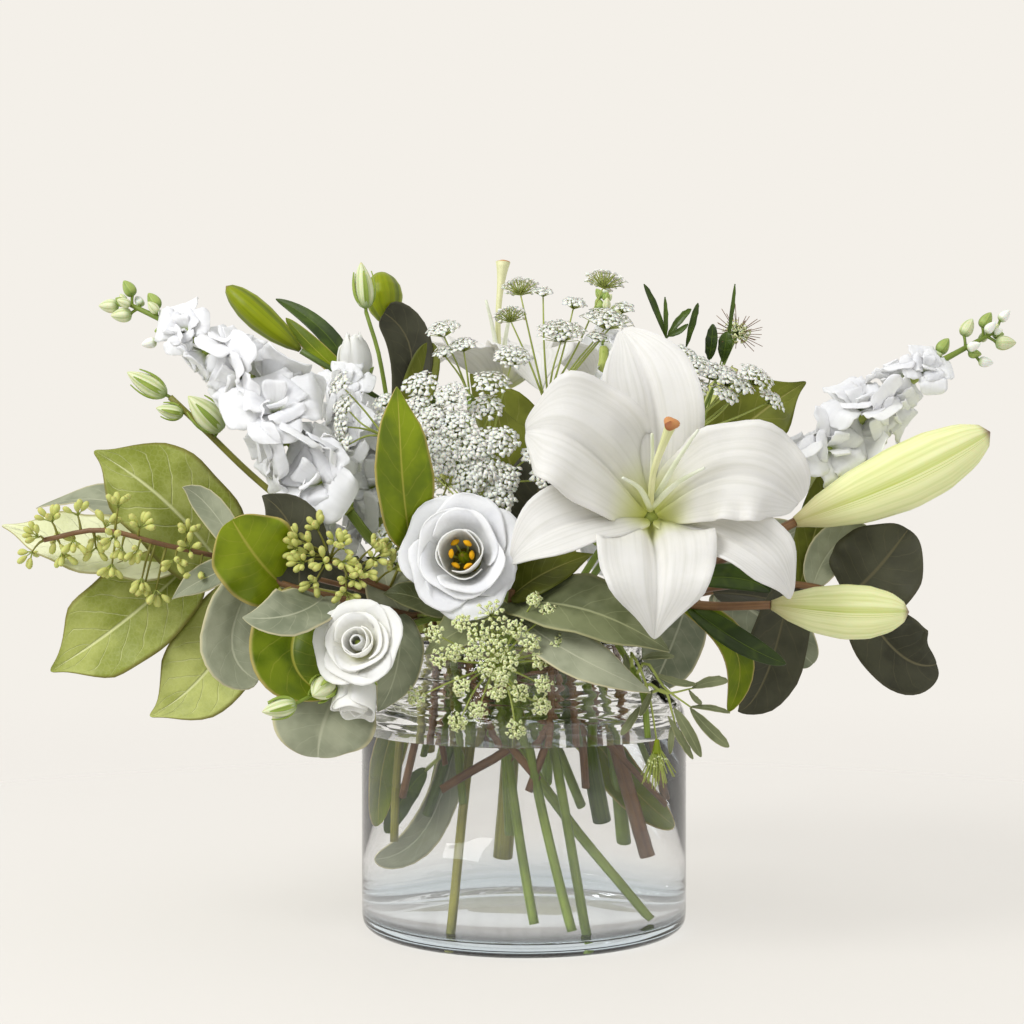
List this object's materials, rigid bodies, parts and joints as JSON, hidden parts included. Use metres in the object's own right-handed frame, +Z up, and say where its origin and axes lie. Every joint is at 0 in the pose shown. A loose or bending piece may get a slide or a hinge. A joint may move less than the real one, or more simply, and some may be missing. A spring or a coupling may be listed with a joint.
{
  "type": "floral table centerpiece",
  "caption": "Wide low table arrangement of white lilies, lisianthus, stock and lace flower with mixed green foliage, standing in a short-necked clear glass vase of water",
  "frame": {"origin": "middle of the vase's flat underside", "axes": "+Z up, +X to the viewer's right as seen from the front, -Y towards the front"},
  "size_m": [0.4648, 0.2978, 0.3242],
  "materials": {
    "glass": "clear polished glass",
    "water": "clear water",
    "white_petal": "soft white petal, faintly translucent",
    "bud_green": "pale green bud, satin",
    "pistil": "pale green and orange, matt",
    "lace": "matt greenish-white florets",
    "lace_green": "matt yellow-green florets",
    "stem": "satin green stem",
    "silver_leaf": "matt grey-green leaf",
    "lemon_leaf": "satin light green leaf with pale veins",
    "seed": "matt yellow-green berries"
  },
  "bodies": {
    "root": {"ammi_back": "lace", "ammi_centre": "lace", "ammi_front": "lace_green", "ammi_left": "lace", "ammi_right": "lace", "ammi_tassel": "lace_green", "ammi_top": "lace", "eucalyptus_back_left": "silver_leaf", "eucalyptus_back_right": "silver_leaf", "eucalyptus_centre": "silver_leaf", "eucalyptus_left": "silver_leaf", "eucalyptus_right": "silver_leaf", "eucalyptus_up": "silver_leaf", "lily_back_bloom": "white_petal", "lily_back_pistil": "pistil", "lily_bud_back": "bud_green", "lily_bud_high": "bud_green", "lily_bud_left": "bud_green", "lily_bud_low": "bud_green", "lily_front_bloom": "white_petal", "lily_front_pistil": "pistil", "lily_stem_back": "stem", "lily_stem_front": "stem", "lisianthus_back": "white_petal", "lisianthus_front": "white_petal", "lisianthus_front_centre": "pistil", "lisianthus_half_open": "white_petal", "lisianthus_lower": "white_petal", "lisianthus_small": "white_petal", "lisianthus_stem_back": "stem", "lisianthus_stem_front": "stem", "lisianthus_stem_left": "stem", "lisianthus_stem_small": "stem", "lisianthus_stem_top": "stem", "salal_back": "lemon_leaf", "salal_left": "lemon_leaf", "salal_right": "lemon_leaf", "seeded_centre": "seed", "seeded_left": "seed", "stock_back_flowers": "white_petal", "stock_back_stem": "stem", "stock_back_tip": "bud_green", "stock_inner_flowers": "white_petal", "stock_inner_stem": "stem", "stock_left_flowers": "white_petal", "stock_left_stem": "stem", "stock_left_tip": "bud_green", "stock_right_flowers": "white_petal", "stock_right_stem": "stem", "stock_right_tip": "bud_green", "vase": "glass", "water": "water"}
  },
  "joints": []
}
